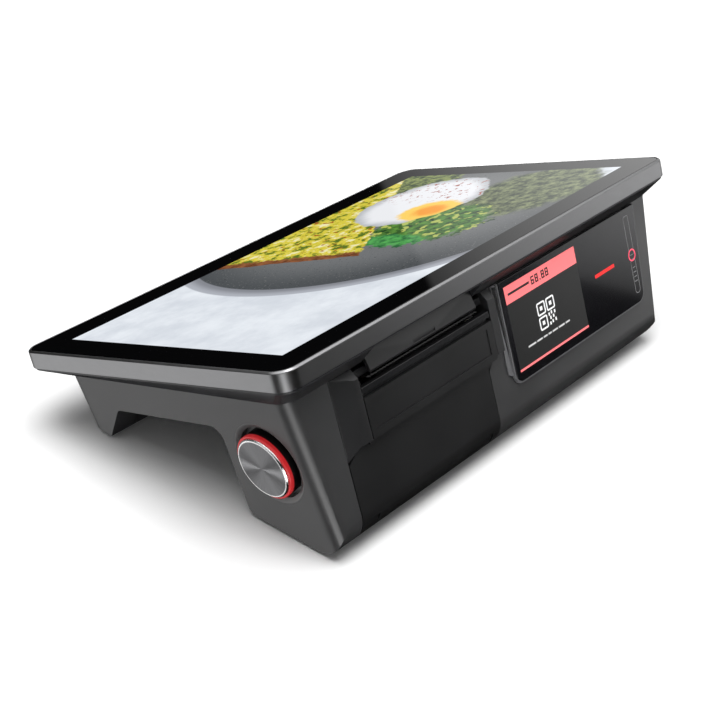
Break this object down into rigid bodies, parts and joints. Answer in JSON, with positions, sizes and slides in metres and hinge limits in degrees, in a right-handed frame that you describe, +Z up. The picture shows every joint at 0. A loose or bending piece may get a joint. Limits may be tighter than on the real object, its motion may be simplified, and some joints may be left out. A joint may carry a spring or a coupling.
{
  "type": "countertop sales terminal",
  "caption": "Sloping touch display on a two-legged body with a round lit power button, a receipt printer behind a hinged door and a small customer display.",
  "frame": {"origin": "on the table, under the middle of the terminal", "axes": "+X along the display, towards the power button; +Y towards the customer; +Z up"},
  "size_m": [0.29, 0.1888, 0.0977],
  "materials": {
    "screen_glass": "polished, printed black behind",
    "frame_metal": "fine satin",
    "screen_panel": "matte",
    "sheet_steel": "plain",
    "dark_plastic": "fine matte texture",
    "body_plastic": "fine matte texture",
    "rim_plastic": "satin",
    "rubber": "matte",
    "bright_steel": "bright",
    "lit_ring": "translucent, lit red",
    "cap_metal": "radially brushed with a bright edge",
    "board_green": "solder resist",
    "copper": "bare copper",
    "gear_plastic": "natural",
    "brass": "turned",
    "paper": "smooth thermal paper",
    "card": "wound card",
    "socket_black": "moulded",
    "head_ceramic": "glazed",
    "film": "amber film"
  },
  "bodies": {
    "terminal": {"touch_glass": "screen_glass", "display_frame": "frame_metal", "display_panel": "screen_panel", "display_plate": "sheet_steel", "back_cover": "dark_plastic", "main_housing": "body_plastic", "side_cheek": "body_plastic", "bottom_cover": "dark_plastic", "rubber_feet": "rubber", "case_screws": "bright_steel", "button_dish": "dark_plastic", "light_ring": "lit_ring", "button_spring": "bright_steel", "push_switch": "gear_plastic", "button_board": "board_green", "customer_rim": "rim_plastic", "customer_glass": "screen_glass", "customer_panel": "screen_panel", "printer_surround": "dark_plastic", "lever_pin": "bright_steel", "lever_springs": "bright_steel", "tear_bar": "bright_steel", "printer_chassis": "sheet_steel", "print_head": "head_ceramic", "head_springs": "bright_steel", "idler_post": "bright_steel", "stepping_motor": "bright_steel", "paper_bin": "dark_plastic", "hinge_brackets": "sheet_steel", "main_board": "board_green", "heat_sink": "frame_metal", "radio_module": "sheet_steel", "port_board": "board_green", "power_inlet": "socket_black", "usb_sockets": "sheet_steel", "network_socket": "sheet_steel", "drawer_socket": "socket_black", "audio_socket": "socket_black", "speaker": "socket_black", "nfc_coil": "copper", "ribbon_cables": "film"},
    "power_button": {"button_cap": "cap_metal"},
    "release_lever": {"release_lever": "dark_plastic"},
    "paper_door": {"paper_door": "dark_plastic", "platen_cover": "dark_plastic", "hinge_pins": "bright_steel", "platen_bushes": "gear_plastic"},
    "platen": {"platen_roller": "rubber", "platen_shaft": "bright_steel", "platen_gear": "gear_plastic"},
    "idler": {"idler_gear": "gear_plastic"},
    "motor_rotor": {"motor_pinion": "brass"},
    "paper_supply": {"paper_roll": "paper", "paper_core": "card"}
  },
  "joints": [
    {"name": "power_press", "type": "slide", "parent": "terminal", "child": "power_button", "axis": [-0.9903, 0, 0.1392], "range_m": [0, 0.0015], "stiffness_N_per_m": 400},
    {"name": "lever_lift", "type": "hinge", "parent": "terminal", "child": "release_lever", "pos_m": [0.0546, 0.06113, 0.07526], "axis": [1, 0, 0], "range_deg": [0, 8], "stiffness_Nm_per_rad": 0.4},
    {"name": "door_swing", "type": "hinge", "parent": "terminal", "child": "paper_door", "pos_m": [0.06, 0.0893, 0.00884], "axis": [-1, 0, 0], "range_deg": [0, 65]},
    {"name": "platen_spin", "type": "hinge", "parent": "paper_door", "child": "platen", "pos_m": [0.054, 0.07432, 0.06282], "axis": [1, 0, 0], "continuous": true},
    {"name": "idler_spin", "type": "hinge", "parent": "terminal", "child": "idler", "pos_m": [0.0971, 0.06323, 0.05922], "axis": [1, 0, 0], "continuous": true},
    {"name": "pinion_spin", "type": "hinge", "parent": "terminal", "child": "motor_rotor", "pos_m": [0.0971, 0.05453, 0.0564], "axis": [1, 0, 0], "continuous": true},
    {"name": "roll_spin", "type": "hinge", "parent": "terminal", "child": "paper_supply", "pos_m": [0.054, 0.0632, 0.03166], "axis": [1, 0, 0], "continuous": true}
  ],
  "couplings": [
    {"joint": "idler_spin", "follows": "platen_spin", "ratio": -0.76923},
    {"joint": "pinion_spin", "follows": "platen_spin", "ratio": 2}
  ]
}
